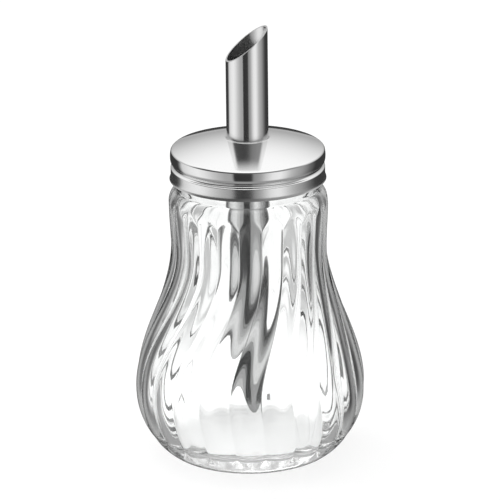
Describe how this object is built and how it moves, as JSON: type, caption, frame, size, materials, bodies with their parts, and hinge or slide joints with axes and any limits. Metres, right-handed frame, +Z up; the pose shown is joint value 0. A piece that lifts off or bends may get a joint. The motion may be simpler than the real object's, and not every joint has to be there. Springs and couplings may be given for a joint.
{
  "type": "sugar shaker",
  "caption": "Empty pear-shaped glass sugar shaker with swirled lobes, a domed steel lid, and a slant-cut steel pouring tube that runs down through the lid into the jar.",
  "frame": {"origin": "centre of the jar's foot, on the surface it stands on", "axes": "+Z up along the jar and the tube; the low lip of the pouring mouth faces -X"},
  "size_m": [0.0734, 0.0734, 0.1405],
  "materials": {
    "jar_glass": "clear, fire-polished",
    "lid_steel": "fine brushed round the axis",
    "tube_steel": "bright, faintly brushed along its length"
  },
  "bodies": {
    "root": {"jar": "jar_glass", "lid": "lid_steel", "pour_tube": "tube_steel"}
  },
  "joints": []
}
